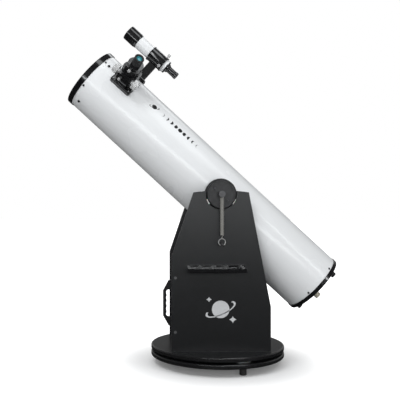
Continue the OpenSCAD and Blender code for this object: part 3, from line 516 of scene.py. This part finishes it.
def collimation_coils():
    """Compression springs on the collimation bolts, under the mirror cell."""
    wire_r, coil_r, turns = 0.9 * MM, 5.3 * MM, 4
    low, high = reach("collimation_springs", ALONG)
    for i in (1, 2, 3):
        axis_point = Vector(JOINTS[f"collimation_{i}"]["pos_m"])
        base = axis_point + ALONG * (low - (axis_point - PIVOT).dot(ALONG) + wire_r)
        spare = (4 if i == 1 else 2) * wire_r    # the cell tips onto the first one
        path = helix(base, ALONG, UP, coil_r, high - low - spare, turns)
        coil = sweep(f"collimation_coil_{i}", path, wire_r, SPRING, "optical_tube")
        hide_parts("collimation_springs")


collimation_coils()

# ------------------------------------------------------------------ printed marks

INK_PALE = print_ink("emblem_ink", (0.6, 0.61, 0.62))
INK_DARK = print_ink("marking_ink", (0.012, 0.012, 0.013))
INK_TOP, INK_UNDER = 0.2 * MM, 0.02 * MM    # heights of the ink's faces above the surface


def printed(name, strips, place, material, body):
    """Strips are lists of (edge point, edge point) pairs in flat millimetres; place sets them on
    a surface, at a height above it."""
    verts, faces = [], []
    for strip in strips:
        start = len(verts)
        for a, b in strip:
            verts += [place(*a, INK_TOP), place(*b, INK_TOP)]
            verts += [place(*a, INK_UNDER), place(*b, INK_UNDER)]
        for i in range(len(strip) - 1):
            p, q = start + 4 * i, start + 4 * i + 4
            faces += [(p, p + 1, q + 1, q), (p + 2, q + 2, q + 3, p + 3), (p, q, q + 2, p + 2),
                      (p + 1, p + 3, q + 3, q + 1)]
        end = start + 4 * (len(strip) - 1)
        faces += [(start, start + 2, start + 3, start + 1), (end, end + 1, end + 3, end + 2)]
    obj = add_mesh(name, verts, faces, material, body, smooth=False)
    tidy = bmesh.new()
    tidy.from_mesh(obj.data)
    bmesh.ops.remove_doubles(tidy, verts=tidy.verts, dist=1e-7)
    bmesh.ops.recalc_face_normals(tidy, faces=tidy.faces)
    tidy.to_mesh(obj.data)
    tidy.free()
    return obj


def disc(cx, cy, r, steps=40):
    """A disc in strips from one side to the other."""
    pairs = []
    for i in range(steps + 1):
        y = -math.cos(math.pi * i / steps) * r
        half = math.sqrt(max(0.0, r * r - y * y)) + 0.01
        pairs.append(((cx - half, cy + y), (cx + half, cy + y)))
    return pairs


def ring_band(cx, cy, a, b, width, tilt, start, stop, steps=60):
    """Part of an elliptical band, tapered to its ends, tilted."""
    pairs = []
    for i in range(steps + 1):
        t = math.radians(start + (stop - start) * i / steps)
        w = width * (0.35 + 0.65 * abs(math.sin(t * 0.5 + math.pi / 4)) ** 0.5)
        row = []
        for da in (-w / 2, w / 2):
            x, y = (a + da) * math.cos(t), (b + da * 0.6) * math.sin(t)
            c, s = math.cos(tilt), math.sin(tilt)
            row.append((cx + x * c - y * s, cy + x * s + y * c))
        pairs.append(tuple(row))
    return pairs


def star(cx, cy, r, waist=0.16, steps=10):
    """A four-pointed star with hollow sides, as strips from its lower to its upper point."""
    pairs = []
    for i in range(-steps, steps + 1):
        y = i / steps
        taper = 1 - abs(y)
        half = max(taper ** 2.4 * (1 - waist) + waist * taper, 0.004) * r
        pairs.append(((cx - half, cy + y * r), (cx + half, cy + y * r)))
    return pairs


def moon(r, phase, steps=24):
    """A moon's lit part: phase -1 a thin crescent, 0 half, 1 full."""
    pairs = []
    for i in range(steps + 1):
        y = -math.cos(math.pi * i / steps) * r
        half = math.sqrt(max(0.0, r * r - y * y))
        pairs.append(((-half * phase - 0.02, y), (half + 0.02, y)))
    return pairs


def mirrored(pairs):
    return [((-b[0], b[1]), (-a[0], a[1])) for a, b in pairs]


def panel_emblem():
    """A ringed planet with two small stars, on the left side panel."""
    centre = Vector((0, -PANEL_OUT, 217 * MM))
    tilt = math.radians(24)

    def place(x, y, height):
        return centre + Vector((x * MM, -height, y * MM))

    planet = [disc(-2, 3, 31), ring_band(-2, 3, 54, 18, 8, tilt, 150, 390)]
    strips = planet + [star(41, -33, 13), star(-43, 38, 10)]
    emblem = printed("panel_emblem", strips, place, INK_PALE, "rocker")


def tube_marking():
    """A small ringed planet, then a row of moon phases along the tube."""
    angle = 39
    planet_at, first_moon, last_moon = 389 * MM, 349 * MM, 176 * MM
    waxing = (-0.75, -0.4, 0.0, 0.5)

    def mark(name, strips, along):
        def place(x, y, height):
            turn = angle + math.degrees(y * MM / TUBE_R)
            return on_tube(turn, TUBE_R + height, along - x * MM)

        printed(name, strips, place, INK_DARK, "optical_tube")

    tilt = math.radians(28)
    mark("tube_planet", [disc(0, 0, 10), ring_band(0, 0, 19, 6.5, 3.4, tilt, 150, 390)], planet_at)
    moons = [moon(8.5, phase) for phase in (*waxing, 1.0)]
    moons += [mirrored(moon(8.5, phase)) for phase in reversed(waxing)]
    step = (first_moon - last_moon) / (len(moons) - 1)
    for i, strip in enumerate(moons):
        mark(f"tube_moon_{i + 1}", [strip], first_moon - step * i)


panel_emblem()
tube_marking()

# ------------------------------------------------------------------ floor, light and camera

def stage_mesh(name, verts, faces, material):
    data = bpy.data.meshes.new(name)
    data.from_pydata(verts, [], faces)
    data.materials.append(material)
    obj = bpy.data.objects.new(name, data)
    bpy.context.scene.collection.objects.link(obj)
    return obj


def by_ray(tree, default, **values):
    """Picks a grey by the kind of ray: Is_Camera_Ray, Is_Glossy_Ray; otherwise the default."""
    rays = tree.nodes.new("ShaderNodeLightPath")
    for kind, value in values.items():
        made = tree.nodes.new("ShaderNodeMix")
        made.data_type = "RGBA"
        tree.links.new(rays.outputs[kind.replace("_", " ")], made.inputs[0])
        for socket, colour in ((made.inputs[6], default), (made.inputs[7], value)):
            feed(tree, socket, colour if hasattr(colour, "is_linked") else (colour, colour, colour, 1))
        default = made.outputs[2]
    return default


def pale_floor():
    """White to the camera through a painted glow that is weak near the base, so the soft shadow near
    the base is partly cast and partly painted shade; greyer in light and reflections.
    """
    s = Shader("floor_white", (0.9, 0.9, 0.9), 0.7, Specular_IOR_Level=0.2)
    s.link(by_ray(s.tree, 0.55, Is_Glossy_Ray=0.02, Is_Camera_Ray=0.9), "Base Color")
    # Painted glow and painted shade: the floor glows to the camera only, faintly within about 0.23 m
    # of the middle and fully from about 0.6 m out
    far = s.spread(s.radius((0, 0, 1), (0, 0, 0)), 0.1, 0.95, 0.23, 0.6, "SMOOTHSTEP")
    painted_glow = s.tree.nodes.new("ShaderNodeCombineColor")
    for channel in painted_glow.inputs:
        s.tree.links.new(far, channel)
    s.link(by_ray(s.tree, 0.0, Is_Camera_Ray=painted_glow.outputs[0]), "Emission Color")
    s.bsdf.inputs["Emission Strength"].default_value = 1.0
    half = 30
    stage_mesh("floor", [(-half, -half, 0), (half, -half, 0), (half, half, 0), (-half, half, 0)],
               [(0, 1, 2, 3)], s.mat)


def heights(tree, height, stops):
    """Grey levels by the height of a world direction, from -1 straight down to 1 straight up."""
    scaled = tree.nodes.new("ShaderNodeMapRange")
    scaled.inputs["From Min"].default_value = -1
    tree.links.new(height, scaled.inputs["Value"])
    ramp = tree.nodes.new("ShaderNodeValToRGB")
    tree.links.new(scaled.outputs[0], ramp.inputs[0])
    for _ in stops[2:]:
        ramp.color_ramp.elements.new(0.5)
    for element, (stop, _) in zip(ramp.color_ramp.elements, stops):
        element.position = (stop + 1) / 2
    for element, (_, grey) in zip(ramp.color_ramp.elements, stops):
        element.color = (grey, grey, grey, 1)
    return ramp.outputs[0]


def studio_world():
    """White to the camera, a soft room to light by, and a darker room in reflections."""
    world = bpy.data.worlds.new("studio")
    bpy.context.scene.world = world
    world.use_nodes = True
    tree = world.node_tree
    coord = tree.nodes.new("ShaderNodeTexCoord")
    split = tree.nodes.new("ShaderNodeSeparateXYZ")
    tree.links.new(coord.outputs["Generated"], split.inputs[0])
    height = split.outputs["Z"]
    room = heights(tree, height, ((-1, 0.3), (0, 0.46), (0.3, 0.54), (1, 0.62)))
    ahead = heights(tree, height,
                    ((-0.15, 0.0), (0.05, 0.12), (0.3, 0.12), (0.5, 0.04), (1, 0.1)))
    behind = heights(tree, height,
                     ((-0.1, 0.02), (0.05, 0.3), (0.3, 0.22), (0.55, 0.04), (1, 0.08)))
    side = tree.nodes.new("ShaderNodeMapRange")
    side.inputs["From Min"].default_value, side.inputs["From Max"].default_value = 0.3, -0.3
    tree.links.new(split.outputs["Y"], side.inputs["Value"])
    seen = tree.nodes.new("ShaderNodeMix")
    seen.data_type = "RGBA"
    for socket, out in ((0, side.outputs[0]), (6, behind), (7, ahead)):
        tree.links.new(out, seen.inputs[socket])
    colour = by_ray(tree, room, Is_Glossy_Ray=seen.outputs[2], Is_Camera_Ray=1.0)
    tree.links.new(colour, tree.nodes["Background"].inputs["Color"])


def softbox(name, place, aim, size, watts, spread=180, in_mirrors=True):
    """A rectangular soft light at place, facing aim."""
    light = bpy.data.lights.new(name, "AREA")
    light.spread = math.radians(spread)
    light.shape = "RECTANGLE"
    light.size, light.size_y = size
    light.energy = watts
    light.color = (0.96, 0.985, 1.0)
    obj = bpy.data.objects.new(name, light)
    bpy.context.scene.collection.objects.link(obj)
    obj.visible_glossy = in_mirrors
    obj.location = place
    obj.rotation_euler = (Vector(aim) - Vector(place)).to_track_quat("-Z", "Y").to_euler()


def main_camera():
    """Square on to the left side, with the lens shifted so that the object fills the frame."""
    home = Vector((-0.2342, -2.37, 0.575))
    camera = bpy.data.cameras.new("camera")
    camera.lens, camera.sensor_width = 56.5, 36.0
    camera.clip_end = 100
    obj = bpy.data.objects.new("camera", camera)
    bpy.context.scene.collection.objects.link(obj)
    obj.location = home
    obj.rotation_euler = (math.radians(90), 0, 0)
    bpy.context.scene.camera = obj
    # The shift holds only at this place, so that views from other sides stay centred
    for socket, amount in (("shift_x", 0.1125), ("shift_y", 0.0225)):
        curve = camera.driver_add(socket)
        while curve.modifiers:
            curve.modifiers.remove(curve.modifiers[0])
        curve.driver.type = "AVERAGE"
        there = curve.driver.variables.new()
        there.type = "TRANSFORMS"
        there.targets[0].id = obj
        there.targets[0].transform_type = "LOC_Y"
        there.targets[0].transform_space = "WORLD_SPACE"
        for y, shift in ((-0.06, 0), (-0.03, amount), (0.03, amount), (0.06, 0)):
            key = curve.keyframe_points.insert(home.y + y, shift)
            key.interpolation = "LINEAR"


pale_floor()
studio_world()
softbox("key", (-1.1, -1.5, 2.4), (-0.6, 0, 1.15), (1.2, 0.8), 14, spread=130, in_mirrors=False)
softbox("fill", (2.3, -2.2, 1.1), (0, 0, 0.5), (0.25, 2.0), 9)
softbox("band", (0, -2.7, 0.8), (0, 0, 0.6), (3.2, 0.34), 15)
softbox("upper", (1.2, -1.3, 2.9), (-0.3, 0, 1.1), (1.4, 1.4), 10)
softbox("back", (0.2, 1.6, 2.6), (0, 0, 0.5), (2.0, 0.5), 5)
main_camera()
bpy.context.scene.view_settings.view_transform = "Standard"
